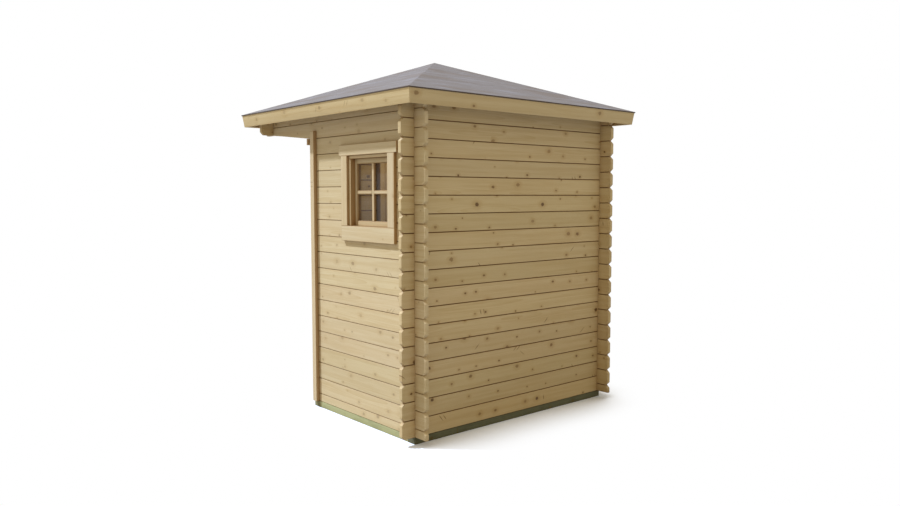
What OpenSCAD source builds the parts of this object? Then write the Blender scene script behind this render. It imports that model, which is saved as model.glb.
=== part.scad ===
// Log-built garden shed with a pyramid roof. Millimetres, +Z up. The origin lies on the ground
// under the roof's peak. The doorway faces -Y and the windowed side wall faces +X.

/* [Plan] */
// Width and depth of the square log plan, over the outer faces of its walls
plan_w = 1780; // [1500:10:2600]
// Depth of the closed room, from the rear wall's outer face to the front wall's outer face
room_d = 1186; // [1100:2:1400]
// Length of each log end that sticks out past a crossed corner
log_stub = 100; // [60:5:140]

/* [Logs] */
// Thickness of a wall log
log_t = 28; // [19:1:45]
// Height that one course of logs covers
course_h = 114; // [90:1:140]
// Number of courses in the rear wall
courses = 18; // [17:1:20]
// Width of the bevel that makes the joint line on a log's faces
bevel = 3; // [1:0.5:5]
// Width of a log's tongue
tongue_w = 8; // [5:0.5:12]
// Height of a log's tongue
tongue_h = 8; // [4:0.5:10]
// Length of the 45 degree cut on the corners of a log end
end_cut = 22; // [10:1:28]

/* [Foundation] */
// Height of the foundation beams
base_h = 44; // [30:1:90]
// Width of the foundation beams
base_w = 70; // [45:1:100]

/* [Front wall] */
// Number of courses beside the doorway
door_courses = 16; // [14:1:16]
// Width of the door leaf
door_w = 592; // [480:2:760]
// Width of the door posts, and height of the door head
door_post_w = 45; // [35:1:70]
// Depth of the door posts and of the corner posts
post_d = 70; // [60:1:100]
// Width of the corner posts
corner_post_w = 45; // [35:1:60]
// Height of the threshold
threshold_h = 28; // [15:1:45]
// Thickness of the door boards
door_board_t = 18; // [14:1:25]
// Width of one door board
door_board_w = 98; // [70:1:140]
// Thickness of the door's ledges and braces
ledge_t = 20; // [15:1:24]
// Height of the door's ledges and width of its braces
ledge_w = 95; // [60:1:110]
// Width of the stops that the door closes against
door_stop_w = 24; // [15:1:35]
// Height of the head board over the doorway
head_board_h = 43; // [30:1:60]
// Thickness of the head board
head_board_t = 22; // [15:1:30]
// Width of the battens on the side walls' outer faces
batten_w = 48; // [30:1:60]
// Thickness of those battens
batten_t = 27; // [16:1:30]
// Distance from the front wall's outer face back to a batten
batten_back = 21; // [5:1:40]
// Height that a batten laps over the log that runs on over the porch
batten_lap = 51; // [30:1:80]

/* [Window] */
// Distance from the middle of the plan to the middle of the window, along the wall
window_y = 416; // [380:1:430]
// Height of the lower edge of the window's clear opening
window_z = 1323; // [900:1:1400]
// Width inside the window frame
window_w = 412; // [300:2:420]
// Height inside the window frame
window_h = 443; // [300:1:460]
// Thickness of the window frame's boards
jamb_t = 22; // [15:1:30]
// Depth of the window frame through the wall
jamb_d = 75; // [60:1:90]
// Distance that the window frame stands out of the wall's outer face
jamb_out = 5; // [0:1:10]
// Distance from the wall's outer face in to the sash
sash_back = 30; // [20:1:34]
// Thickness of the sash
sash_t = 32; // [24:1:36]
// Width of the sash's stiles
stile_w = 26; // [18:1:40]
// Height of the sash's rails
rail_h = 34; // [25:1:50]
// Width of the glazing bars
bar_w = 25; // [15:1:35]
// Thickness of the glass
glass_t = 4; // [3:0.5:6]
// Width of the boards around the window
casing_w = 70; // [50:1:90]
// Thickness of the boards around the window
casing_t = 22; // [15:1:30]
// Distance that the upper board reaches past the side boards
casing_ear = 26; // [0:1:40]
// Height of the board below the window
apron_h = 100; // [70:1:130]

/* [Roof] */
// Overhang of the roof past the log plan, all round
overhang = 167; // [140:1:260]
// Height from the roof's edge to its peak
roof_rise = 384; // [300:1:500]
// Height of the roof's top edge above the top of the walls
eave_up = 39; // [30:1:60]
// Thickness of the roof boards
roof_board_t = 16; // [12:1:22]
// Thickness of the roof covering
covering_t = 3; // [2:0.5:6]
// Distance that the covering reaches past the fascia
covering_lip = 4; // [2:1:10]
// Height of the fascia boards
fascia_h = 92; // [80:1:120]
// Thickness of the fascia boards
fascia_t = 16; // [12:1:22]
// Lean of the fascia boards, lower edge inwards
fascia_lean = 8; // [0:1:15]
// Width of the rafters
rafter_w = 45; // [35:1:60]
// Depth of the rafters, measured upright
rafter_d = 90; // [86:1:110]
// Distance across the flats of the block that the rafters meet at
king_w = 120; // [115:1:180]

/* [Hidden] */

// Fits
// Gap on each side of a crossing log in its notch
notch_gap = 0.3;
// Gap on each side of a tongue in its groove, and over it
tongue_gap = 0.5;
// Gap between a frame and what is set in it
frame_gap = 0.3;
// Gap between the door leaf and its frame
door_gap = 4;
// Gap between the wall and what is set through it
wall_gap = 2;
// Least depth that the middle rafters are let into the walls
rafter_bite = 6;
// Reach of a cutting shape past what it cuts
past = 1;

// Places worked out from the sizes above
half_w = plan_w / 2;
log_mid = half_w - log_t / 2;
wall_in = half_w - log_t;
front_y = half_w - room_d;
notch_d = course_h / 4;
wall_top = base_h + courses * course_h;
door_top = base_h + door_courses * course_h;
doorway_half = door_w / 2 + door_gap;
porch_z = base_h + (courses - 1.5) * course_h;
cross_z = wall_top - course_h;
eave = half_w + overhang;
eave_z = wall_top + eave_up;
pitch_tan = roof_rise / eave;
pitch = atan(pitch_tan);
covering_v = covering_t / cos(pitch);
board_v = roof_board_t / cos(pitch);
peak_z = eave_z + roof_rise;

// Height of the roof boards' underside at a plan distance d from the middle
function under_z(d) = eave_z - covering_v - board_v + (eave - d) * pitch_tan;

// Depth of the rafters, more than rafter_d where a steeper roof would lift them off the walls
rafter_depth = max(rafter_d, under_z(half_w) - wall_top + rafter_bite);

// Distance of a hip rafter's flat top below the line of the hip
hip_drop = rafter_w / 2 * sin(45) * pitch_tan;

// Height that clears every rafter at a plan distance d from the middle
function under_rafters_z(d) = under_z(d) - rafter_depth - 2 * hip_drop;

// Height of the covering's underside at a plan distance d from the middle
function board_top_z(d) = eave_z - covering_v + (eave - d) * pitch_tan;

wood = [0.88, 0.80, 0.62];
end_wood = [0.80, 0.68, 0.46];
treated = [0.45, 0.50, 0.36];
felt = [0.45, 0.41, 0.38];
zinc = [0.72, 0.73, 0.74];
clear = [0.75, 0.85, 0.88, 0.4];

// ---- Logs ----

// Section of a log: bevelled faces, a tongue on top and a groove below.
// A course with no log above has no tongue, and one on the foundation has no groove.
module log_section(height, tongue, groove) {
    t = log_t / 2;
    groove_w = tongue_w / 2 + tongue_gap;
    groove_h = tongue_h + tongue_gap;
    below = groove
        ? [[-t + bevel, 0], [-groove_w, 0], [-groove_w, groove_h],
           [groove_w, groove_h], [groove_w, 0], [t - bevel, 0]]
        : [[-t + bevel, 0], [t - bevel, 0]];
    above = tongue
        ? [[t - bevel, height], [tongue_w / 2, height], [tongue_w / 2, height + tongue_h],
           [-tongue_w / 2, height + tongue_h], [-tongue_w / 2, height], [-t + bevel, height]]
        : [[t - bevel, height], [-t + bevel, height]];
    polygon(concat(below, [[t, bevel]], [[t, height - bevel]], above,
                   [[-t, height - bevel]], [[-t, bevel]]));
}

// A plain length of log along +X from x0 to x1, its middle plane at y = 0, its foot at z = 0
module log_blank(x0, x1, height, tongue = true, groove = true) {
    translate([x0, 0, 0])
        rotate([90, 0, 90])
            linear_extrude(x1 - x0)
                log_section(height, tongue, groove);
}

// Wedge that takes the corner off a log end. The end is at x, and side is 1 for the +X end.
// up is 1 for the top corner at z = height, -1 for the bottom corner at z = 0.
module corner_cut(x, side, up, height) {
    z = up > 0 ? height : 0;
    rotate([90, 0, 0])
        linear_extrude(log_t + 2 * past, center = true)
            polygon([
                [x - side * (end_cut + tongue_h + past), z + up * (tongue_h + past)],
                [x - side * end_cut, z],
                [x, z - up * end_cut],
                [x + side * past, z - up * (end_cut + past)],
                [x + side * past, z + up * (tongue_h + past)]
            ]);
}

// The two notches of a crossed corner at x: half a neck above and half below
module crossing(x, height, above, below) {
    w = log_t + 2 * notch_gap;
    if (above)
        translate([x - w / 2, -log_t, height - notch_d])
            cube([w, 2 * log_t, notch_d + tongue_h + past]);
    if (below)
        translate([x - w / 2, -log_t, -past])
            cube([w, 2 * log_t, notch_d + past]);
}

// A log with a crossed corner at both ends
module crossed_log(tongue, groove) {
    difference() {
        log_blank(-half_w - log_stub, half_w + log_stub, course_h, tongue, groove);
        for (side = [-1, 1]) {
            crossing(side * log_mid, course_h, true, true);
            for (up = [-1, 1])
                corner_cut(side * (half_w + log_stub), side, up, course_h);
        }
    }
}

module rear_wall_logs(first) {
    color(wood)
        for (i = [first:2:courses - 1])
            translate([0, log_mid, base_h + i * course_h])
                crossed_log(i < courses - 1, i > 0);
}

module porch_cross_log() {
    color(wood)
        translate([0, -log_mid, cross_z])
            crossed_log(false, false);
}

// Foot and height of course k of a side wall, which starts and ends with half a log
function side_z(k) = k == 0 ? base_h : base_h + (k - 0.5) * course_h;
function side_h(k) = k == 0 || k == courses ? course_h / 2 : course_h;

// One course of a side wall, laid along Y. The last two run on over the porch.
module side_log(k) {
    over_porch = k >= courses - 1;
    rear_end = half_w + log_stub;
    front_end = over_porch ? -half_w - log_stub : front_y;
    h = side_h(k);
    translate([0, 0, side_z(k)])
        rotate([0, 0, 90])
            difference() {
                log_blank(front_end, rear_end, h, k < courses, k > 0);
                crossing(log_mid, h, k < courses, k > 0);
                if (k < courses)
                    corner_cut(rear_end, 1, 1, h);
                if (k > 0)
                    corner_cut(rear_end, 1, -1, h);
                if (over_porch)
                    porch_end_cuts(k, front_end, h);
            }
}

// Notch and cut corners at the porch end of a log. The lower log's underside rises in a
// straight line from the front wall to the foot of the porch's cross log.
module porch_end_cuts(k, front_end, h) {
    rise = cross_z - porch_z;
    if (k == courses) {
        crossing(-log_mid, h, false, true);
        corner_cut(front_end, -1, -1, h);
    }
    else {
        crossing(-log_mid, h, true, false);
        corner_cut(front_end, -1, 1, h);
        rotate([90, 0, 0])
            linear_extrude(log_t + 2 * past, center = true)
                polygon([
                    [front_y, 0], [-wall_in, rise], [front_end + end_cut, rise],
                    [front_end, rise + end_cut], [front_end - past, rise + end_cut],
                    [front_end - past, -past], [front_y, -past]
                ]);
    }
}

module side_wall_logs(first) {
    for (k = [first:2:courses])
        side_log(k);
}

module window_wall_logs(first) {
    color(wood)
        difference() {
            translate([log_mid, 0, 0])
                side_wall_logs(first);
            window_box(jamb_t + wall_gap, wall_in - past, half_w + past);
        }
}

module left_wall_logs(first) {
    color(wood)
        translate([-log_mid, 0, 0])
            side_wall_logs(first);
}

// Outline, seen from the front, that keeps the front wall's top logs under the rafters
module under_rafters_outline() {
    top_z = under_rafters_z(-front_y);
    foot_z = under_rafters_z(wall_in);
    polygon([
        [-wall_in, 0], [wall_in, 0], [wall_in, foot_z],
        [-front_y, top_z], [front_y, top_z], [-wall_in, foot_z]
    ]);
}

// The front wall's logs: beside the doorway, over it, and on up under the rafters
module front_wall_logs(first) {
    outer = wall_in - corner_post_w;
    inner = doorway_half + door_post_w;
    all_courses = ceil((under_rafters_z(-front_y) - base_h) / course_h);
    color(wood)
        for (i = [first:2:all_courses - 1])
            translate([0, front_y + log_t / 2, 0])
                if (i < door_courses) {
                    for (side = [0, 1])
                        mirror([side, 0, 0])
                            translate([0, 0, base_h + i * course_h])
                                log_blank(inner, outer, course_h, i < door_courses - 1, i > 0);
                }
                else {
                    intersection() {
                        translate([0, 0, base_h + i * course_h])
                            log_blank(-outer, outer, course_h, true, i > door_courses);
                        rotate([90, 0, 0])
                            linear_extrude(2 * log_t, center = true)
                                under_rafters_outline();
                    }
                }
}

// ---- Foundation ----

module foundation_cross_beam(y) {
    color(treated)
        translate([-half_w, y, 0])
            cube([plan_w, base_w, base_h]);
}

module foundation_side_beam(x) {
    color(treated)
        translate([x, front_y + base_w, 0])
            cube([base_w, room_d - 2 * base_w, base_h]);
}

// ---- Posts, battens and head board ----

module front_corner_posts() {
    color(wood)
        for (side = [0, 1])
            mirror([side, 0, 0])
                translate([wall_in - corner_post_w, front_y, base_h])
                    cube([corner_post_w, post_d, wall_top - base_h]);
}

module side_battens() {
    color(wood)
        for (side = [0, 1])
            mirror([side, 0, 0])
                translate([half_w, front_y + batten_back, base_h])
                    cube([batten_t, batten_w, porch_z + batten_lap - base_h]);
}

module front_head_board() {
    w = plan_w + 2 * batten_t;
    color(wood)
        translate([-w / 2, front_y - head_board_t, porch_z - head_board_h])
            cube([w, head_board_t, head_board_h]);
}

// ---- Door ----

leaf_z0 = base_h + threshold_h + door_gap;
leaf_z1 = door_top - door_post_w - door_gap;
leaf_y = front_y;
stop_y = leaf_y + door_board_t + ledge_t + frame_gap;

module door_frame() {
    color(wood)
        difference() {
            translate([-doorway_half - door_post_w, front_y, base_h])
                cube([2 * (doorway_half + door_post_w), post_d, door_top - base_h]);
            translate([-doorway_half, front_y - past, base_h + threshold_h])
                cube([2 * doorway_half, post_d + 2 * past,
                      door_top - door_post_w - base_h - threshold_h]);
        }
}

module door_stops() {
    color(wood)
        for (side = [0, 1])
            mirror([side, 0, 0])
                translate([doorway_half - door_stop_w, stop_y, base_h + threshold_h])
                    cube([door_stop_w, front_y + post_d - stop_y,
                          door_top - door_post_w - base_h - threshold_h]);
}

// The leaf's upright boards, tongued together, with a joint line between each pair
module door_boards() {
    count = ceil(door_w / door_board_w);
    w = door_w / count;
    color(wood)
        difference() {
            translate([-door_w / 2, leaf_y, leaf_z0])
                cube([door_w, door_board_t, leaf_z1 - leaf_z0]);
            for (i = [1:count - 1])
                translate([-door_w / 2 + i * w, leaf_y, leaf_z0 - past])
                    rotate([0, 0, 45])
                        translate([-bevel / 2, -bevel / 2, 0])
                            cube([bevel, bevel, leaf_z1 - leaf_z0 + 2 * past]);
        }
}

ledge_half = door_w / 2 - door_stop_w;
ledge_low = leaf_z0 + 180;
ledge_high = leaf_z1 - 180 - ledge_w;
ledge_mid = (ledge_low + ledge_high) / 2;

// Outline of a brace that rises from the hinge side between two ledges
module brace_outline(z0, z1) {
    foot = -ledge_half + ledge_w / 4;
    head = ledge_half - ledge_w / 4;
    polygon([[foot, z0], [foot + ledge_w, z0], [head, z1], [head - ledge_w, z1]]);
}

module door_ledges() {
    color(wood)
        translate([0, leaf_y + door_board_t + ledge_t, 0])
            rotate([90, 0, 0])
                linear_extrude(ledge_t) {
                    for (z = [ledge_low, ledge_mid, ledge_high])
                        translate([-ledge_half, z])
                            square([2 * ledge_half, ledge_w]);
                    brace_outline(ledge_low + ledge_w, ledge_mid);
                    brace_outline(ledge_mid + ledge_w, ledge_high);
                }
}

strap_l = 320;
strap_w = 36;
strap_t = 4;
hinge_pin_r = 6;

// Strap hinges on the leaf's outer face, each with its barrel in front of the door post
module door_hinges() {
    face = leaf_y - strap_t;
    pin_x = -doorway_half - 2 * hinge_pin_r;
    color(zinc)
        for (z = [ledge_low, ledge_high])
            translate([0, 0, z + ledge_w / 2]) {
                translate([pin_x, face, -strap_w / 2])
                    cube([strap_l, strap_t, strap_w]);
                translate([pin_x, front_y - hinge_pin_r, -strap_w / 2])
                    cylinder(h = strap_w, r = hinge_pin_r, $fn = 48);
            }
}

handle_plate = [32, 4, 160];
handle_r = 8;
handle_out = 45;
handle_l = 110;

// A plain lever on a plate
module door_handle() {
    x = door_w / 2 - 70;
    z = leaf_z0 + 960;
    color(zinc)
        union() {
            translate([x - handle_plate[0] / 2, leaf_y - handle_plate[1], z - handle_plate[2] / 2])
                cube(handle_plate);
            translate([x, leaf_y - handle_plate[1] / 2, z])
                rotate([90, 0, 0])
                    cylinder(h = handle_out, r = handle_r, $fn = 48);
            translate([x + handle_r, leaf_y - handle_out, z])
                rotate([0, -90, 0])
                    cylinder(h = handle_l, r = handle_r, $fn = 48);
        }
}

// ---- Window ----

// Box through the window wall, grown by g all round the clear opening, from x0 to x1
module window_box(g, x0, x1) {
    translate([x0, window_y - window_w / 2 - g, window_z - g])
        cube([x1 - x0, window_w + 2 * g, window_h + 2 * g]);
}

module window_frame() {
    x1 = half_w + jamb_out;
    color(wood)
        difference() {
            window_box(jamb_t, x1 - jamb_d, x1);
            window_box(0, x1 - jamb_d - past, x1 + past);
        }
}

sash_x1 = half_w - sash_back;
sash_x0 = sash_x1 - sash_t;
glass_x1 = sash_x1 - sash_t / 2 + glass_t / 2;

// Stiles and rails round the glass, with a cross of bars in front of it
module window_sash() {
    pane_w = window_w - 2 * frame_gap - 2 * stile_w;
    pane_h = window_h - 2 * frame_gap - 2 * rail_h;
    z0 = window_z + frame_gap + rail_h;
    bar_t = sash_x1 - glass_x1;
    color(wood)
        union() {
            difference() {
                window_box(-frame_gap, sash_x0, sash_x1);
                translate([sash_x0 - past, window_y - pane_w / 2, z0])
                    cube([sash_t + 2 * past, pane_w, pane_h]);
            }
            translate([glass_x1, window_y - bar_w / 2, z0 - past])
                cube([bar_t, bar_w, pane_h + 2 * past]);
            translate([glass_x1, window_y - pane_w / 2 - past, z0 + (pane_h - bar_w) / 2])
                cube([bar_t, pane_w + 2 * past, bar_w]);
        }
}

module window_glass() {
    pane_w = window_w - 4 * frame_gap - 2 * stile_w;
    pane_h = window_h - 4 * frame_gap - 2 * rail_h;
    color(clear)
        translate([glass_x1 - glass_t, window_y - pane_w / 2,
                   window_z + 2 * frame_gap + rail_h])
            cube([glass_t, pane_w, pane_h]);
}

casing_in = window_w / 2 + jamb_t;

module window_head_casing() {
    w = 2 * (casing_in + casing_w + casing_ear);
    color(wood)
        translate([half_w, window_y - w / 2, window_z + window_h + jamb_t])
            cube([casing_t, w, casing_w]);
}

module window_side_casings() {
    color(wood)
        for (y = [-casing_in - casing_w, casing_in])
            translate([half_w, window_y + y, window_z])
                cube([casing_t, casing_w, window_h + jamb_t]);
}

module window_apron() {
    w = 2 * (casing_in + casing_w);
    color(wood)
        difference() {
            translate([half_w, window_y - w / 2, window_z - apron_h])
                cube([casing_t, w, apron_h]);
            window_box(jamb_t + frame_gap, half_w - past, half_w + jamb_out + frame_gap);
        }
}

// ---- Roof ----

// Plan of the roof's side that faces -Y, out to a plan distance d from the middle
module sector(d) {
    linear_extrude(peak_z + course_h)
        polygon([[0, 0], [-d, -d], [d, -d]]);
}

// Slab that lies along the roof's -Y slope. Its top is drop below the roof's top surface,
// measured square to the slope, and t is its thickness.
module slope_slab(drop, t) {
    long = 2 * eave;
    translate([0, -eave, eave_z])
        rotate([pitch, 0, 0])
            translate([-long, -long / 2, -drop - t])
                cube([2 * long, 2 * long, t]);
}

module roof_covering() {
    color(felt)
        intersection() {
            slope_slab(0, covering_t);
            sector(eave);
        }
}

module roof_boards() {
    inset = covering_lip + fascia_t / cos(fascia_lean) + board_v * tan(fascia_lean) + frame_gap;
    color(wood)
        intersection() {
            slope_slab(covering_t, roof_board_t);
            sector(eave - inset);
        }
}

// A leaning board under the edge of the covering, mitred at both ends
module fascia() {
    d0 = eave - covering_lip;
    t = fascia_t / cos(fascia_lean);
    dx = fascia_h * sin(fascia_lean);
    dz = fascia_h * cos(fascia_lean);
    z0 = board_top_z(d0);
    color(wood)
        intersection() {
            rotate([90, 0, -90])
                linear_extrude(2 * eave, center = true)
                    polygon([
                        [d0, z0], [d0 - dx, z0 - dz],
                        [d0 - dx - fascia_t * cos(fascia_lean), z0 - dz + fascia_t * sin(fascia_lean)],
                        [d0 - t, board_top_z(d0 - t)]
                    ]);
            sector(eave);
        }
}

king_in = king_w / 2;

// Block with eight flats that all the rafters butt against
module king_block() {
    r = king_w / 2 / cos(22.5);
    h = rafter_depth + 40;
    top = under_z(r);
    color(wood)
        translate([0, 0, top - h])
            rotate([0, 0, 22.5])
                cylinder(h = h, r = r, $fn = 8);
}

// Everything below the walls' top, where the rafters are seated and their tails are level
module rafter_seat() {
    translate([-eave, -eave, 0])
        cube([2 * eave, 2 * eave, wall_top]);
}

// Rafter along +X from the block to a run r1, where run is worth k of plan distance. Its top
// lies drop below the roof boards.
module rafter(r1, k, drop) {
    r0 = king_in;
    color(wood)
        rotate([90, 0, 0])
            linear_extrude(rafter_w, center = true)
                polygon([
                    [r0, under_z(r0 * k) - drop], [r1, under_z(r1 * k) - drop],
                    [r1, under_z(r1 * k) - drop - rafter_depth], [r0, under_z(r0 * k) - drop - rafter_depth]
                ]);
}

rafter_end = eave - covering_lip - (fascia_h * sin(fascia_lean) + 2 * fascia_t);

// The four rafters under the hips. Their flat tops touch the boards with both edges.
module hip_rafters() {
    difference() {
        for (a = [45:90:315])
            rotate([0, 0, a])
                rafter(rafter_end * sqrt(2) - rafter_w, cos(45), hip_drop);
        rafter_seat();
    }
}

// The four rafters in the middle of each side
module common_rafters() {
    difference() {
        for (a = [0:90:270])
            rotate([0, 0, a])
                rafter(rafter_end, 1, 0);
        rafter_seat();
    }
}

foundation_cross_beam(front_y);  // foundation_front
foundation_cross_beam(half_w - base_w);  // foundation_rear
foundation_side_beam(-half_w);  // foundation_left
foundation_side_beam(half_w - base_w);  // foundation_right
rear_wall_logs(0);  // rear_wall_even_logs
rear_wall_logs(1);  // rear_wall_odd_logs
window_wall_logs(0);  // window_wall_even_logs
window_wall_logs(1);  // window_wall_odd_logs
left_wall_logs(0);  // left_wall_even_logs
left_wall_logs(1);  // left_wall_odd_logs
front_wall_logs(0);  // front_wall_even_logs
front_wall_logs(1);  // front_wall_odd_logs
porch_cross_log();
front_corner_posts();
side_battens();
front_head_board();
door_frame();
door_stops();
door_boards();
door_ledges();
door_hinges();
door_handle();
window_frame();
window_sash();
window_glass();
window_head_casing();
window_side_casings();
window_apron();
king_block();
hip_rafters();
common_rafters();
roof_boards();  // roof_boards_front
rotate([0, 0, 180]) roof_boards();  // roof_boards_rear
rotate([0, 0, -90]) roof_boards();  // roof_boards_left
rotate([0, 0, 90]) roof_boards();  // roof_boards_right
roof_covering();  // roof_covering_front
rotate([0, 0, 180]) roof_covering();  // roof_covering_rear
rotate([0, 0, -90]) roof_covering();  // roof_covering_left
rotate([0, 0, 90]) roof_covering();  // roof_covering_right
fascia();  // fascia_front
rotate([0, 0, 180]) fascia();  // fascia_rear
rotate([0, 0, -90]) fascia();  // fascia_left
rotate([0, 0, 90]) fascia();  // fascia_right
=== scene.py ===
"""Looks for a log-built garden shed with a pyramid roof: logs, boards, window, door, roof and stage."""

import math
import zlib

import bmesh
import bpy
import numpy as np
from bpy.props import FloatProperty, FloatVectorProperty, IntProperty, PointerProperty
from mathutils import Matrix, Vector


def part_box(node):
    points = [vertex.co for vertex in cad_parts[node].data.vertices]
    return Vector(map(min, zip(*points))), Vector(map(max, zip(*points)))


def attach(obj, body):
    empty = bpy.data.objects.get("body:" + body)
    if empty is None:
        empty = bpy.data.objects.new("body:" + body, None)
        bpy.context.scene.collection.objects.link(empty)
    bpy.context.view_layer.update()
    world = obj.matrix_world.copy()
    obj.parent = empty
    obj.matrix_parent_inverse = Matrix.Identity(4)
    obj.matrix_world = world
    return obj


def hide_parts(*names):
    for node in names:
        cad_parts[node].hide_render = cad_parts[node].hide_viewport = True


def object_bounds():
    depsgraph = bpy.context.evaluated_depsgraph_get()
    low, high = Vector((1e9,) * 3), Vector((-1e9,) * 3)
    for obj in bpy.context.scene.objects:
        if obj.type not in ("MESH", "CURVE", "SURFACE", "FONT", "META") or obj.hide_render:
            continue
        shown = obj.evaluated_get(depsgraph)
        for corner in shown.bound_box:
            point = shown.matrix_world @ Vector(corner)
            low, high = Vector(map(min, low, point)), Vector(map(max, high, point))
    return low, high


bl_info = {
    "name": "Garden shed looks",
    "version": (1, 0, 0),
    "blender": (4, 5, 0),
    "location": "3D View > Sidebar > Shed",
    "description": "Builds the visible pieces of a log garden shed around its fixed frame",
    "category": "Object",
}

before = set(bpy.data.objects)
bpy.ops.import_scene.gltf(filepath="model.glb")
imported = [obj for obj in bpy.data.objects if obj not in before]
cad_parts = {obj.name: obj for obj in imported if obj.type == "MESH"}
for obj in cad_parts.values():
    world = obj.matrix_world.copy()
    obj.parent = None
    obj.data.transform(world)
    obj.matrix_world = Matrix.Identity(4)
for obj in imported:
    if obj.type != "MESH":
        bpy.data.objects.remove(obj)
CAD_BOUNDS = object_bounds()


def length(text, default, about):
    """A size in metres."""
    return FloatProperty(name=text, description=about, default=default, unit="LENGTH", precision=4)


def paint(text, srgb, about):
    """A colour, given as it looks on a screen from 0 to 255, kept as linear light."""
    c = np.asarray(srgb, float) / 255
    linear = np.where(c <= 0.04045, c / 12.92, ((c + 0.055) / 1.055) ** 2.4)
    return FloatVectorProperty(
        name=text, description=about, default=tuple(linear), subtype="COLOR", size=3, min=0, max=1
    )


def height(node):
    """The height of a node's box."""
    low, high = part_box(node)
    return high.z - low.z


# ---- Sizes and colours ----


class ShedWalls(bpy.types.PropertyGroup):
    course: length("Course height", height("porch_cross_log"), "Height that one course of logs covers")
    thick: length("Log thickness", 0.028, "Thickness of a wall log")
    bevel: length("Joint bevel", 0.0034, "Height of the bevel along a log that makes the joint line")
    bevel_deep: length("Joint depth", 0.0055, "Depth of that bevel")
    ease: length("Log edge", 0.0012, "Softened edge of a log's end")
    end_cut: length("End cut", 0.022, "Length of the slanting cut on a log end's corners")
    gap: length("Notch gap", 0.0003, "Gap on each side of a log in its notch")
    post: length("Corner post", 0.045, "Width of the front corner posts")
    batten: length("Batten thickness", 0.027, "Thickness of the battens on the side walls")


class ShedWindow(bpy.types.PropertyGroup):
    jamb: length("Frame board", 0.022, "Thickness of the window frame's boards")
    casing: length("Casing width", 0.070, "Width of the boards around the window")
    stile: length("Stile width", 0.026, "Width of the sash's upright pieces")
    rail: length("Rail height", 0.034, "Height of the sash's level pieces")
    bar: length("Glazing bar", 0.025, "Width of the glazing bars")
    moulding: length("Moulding", 0.005, "Slope cut on the sash's edges beside the glass")
    ease: length("Board edge", 0.0018, "Softened edge of the planed boards")


class ShedDoor(bpy.types.PropertyGroup):
    post: length("Door post", 0.045, "Width of the door posts and height of the door head")
    threshold: length("Threshold", 0.028, "Height of the threshold")
    stop: length("Door stop", 0.024, "Width of the stops")
    boards: IntProperty(name="Door boards", description="Number of upright boards", default=7, min=3)
    joint: length("Door joint", 0.0025, "Bevel on the door boards' edges")
    ledge: length("Ledge height", 0.095, "Height of the ledges and width of the braces")
    screw: length("Screw head", 0.0042, "Radius of a screw's head")


class ShedRoof(bpy.types.PropertyGroup):
    board: length("Roof board width", 0.096, "Cover width of a roof board")
    board_thick: length("Roof board thickness", 0.016, "Thickness of the roof boards")
    felt: length("Felt thickness", 0.003, "Thickness of the covering over its laps")
    lap: length("Felt course", 0.375, "Height of one course of felt up the slope")
    drip: length("Felt drip", 0.0075, "Depth of the felt that is turned down at the edge")
    lip: length("Felt lip", 0.004, "Distance that the felt reaches past the fascia")
    fascia: length("Fascia height", 0.092, "Height of the fascia boards")
    fascia_thick: length("Fascia thickness", 0.016, "Thickness of the fascia boards")
    lean: FloatProperty(name="Fascia lean", description="Lean of the fascia, lower edge inwards",
                        default=math.radians(8), subtype="ANGLE")
    rafter: length("Rafter width", 0.045, "Width of the rafters")
    rafter_deep: length("Rafter depth", 0.090, "Depth of the rafters, measured upright")
    king: length("King block", 0.120, "Distance across the flats of the block at the peak")


class ShedColours(bpy.types.PropertyGroup):
    log: paint("Logs", (205, 182, 134), "Early wood of the wall logs")
    log_dark: paint("Log grain", (184, 154, 100), "Late wood of the wall logs")
    planed: paint("Planed boards", (206, 183, 136), "Early wood of the window, door and battens")
    planed_dark: paint("Planed grain", (187, 157, 104), "Late wood of the window, door and battens")
    fascia: paint("Fascia", (206, 182, 133), "Early wood of the fascia boards")
    fascia_dark: paint("Fascia grain", (186, 155, 100), "Late wood of the fascia boards")
    timber: paint("Roof timber", (190, 162, 115), "Early wood of rafters and roof boards")
    timber_dark: paint("Roof timber grain", (168, 134, 86), "Late wood of rafters and roof boards")
    # Dark, as the rear beam in shade shows it: painted shade, which painted sunlight lifts on the other beams
    treated: paint("Treated timber", (108, 108, 80), "Green of the pressure-treated beams")
    treated_dark: paint("Treated grain", (92, 94, 66), "Darker green of the beams' grain")
    knot: paint("Knots", (100, 72, 34), "Middle of a knot")
    felt: paint("Felt", (124, 116, 109), "Main grey of the roofing felt")
    felt_brown: paint("Felt, brown streaks", (117, 104, 91), "Brown streaks in the felt")
    felt_blue: paint("Felt, pale streaks", (142, 139, 139), "Pale blue-grey streaks in the felt")
    steel: paint("Zinc-coated steel", (196, 198, 200), "Hinges, handle and screws")


GROUPS = {"shed_walls": ShedWalls, "shed_window": ShedWindow, "shed_door": ShedDoor,
          "shed_roof": ShedRoof, "shed_colours": ShedColours}

# How far each side of the roof is turned from the front
SIDES = (("front", 0), ("rear", 180), ("left", -90), ("right", 90))
# Height of the covering's edge over the top of the fascia
EAVE_OVER_FASCIA = 0.0017
# Gap on each side of the window's frame in the logs
WINDOW_GAP = 0.002
# Softened edges of the beams and door stops, and of the posts, battens and rafters
BEAM_EASE = 0.003
BOARD_EASE = 0.002
# Softened edge where two pieces of the window meet
TIGHT = 0.0004
# Edges that meet at more than this angle stay sharp
SHARP = math.radians(32)

# ---- Shapes ----

FACES = {"x": np.array([[0, 1, 0], [0, 0, 1], [1, 0, 0]], float),
         "y": np.array([[1, 0, 0], [0, 0, 1], [0, 1, 0]], float),
         "z": np.array([[1, 0, 0], [0, 1, 0], [0, 0, 1]], float)}


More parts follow.
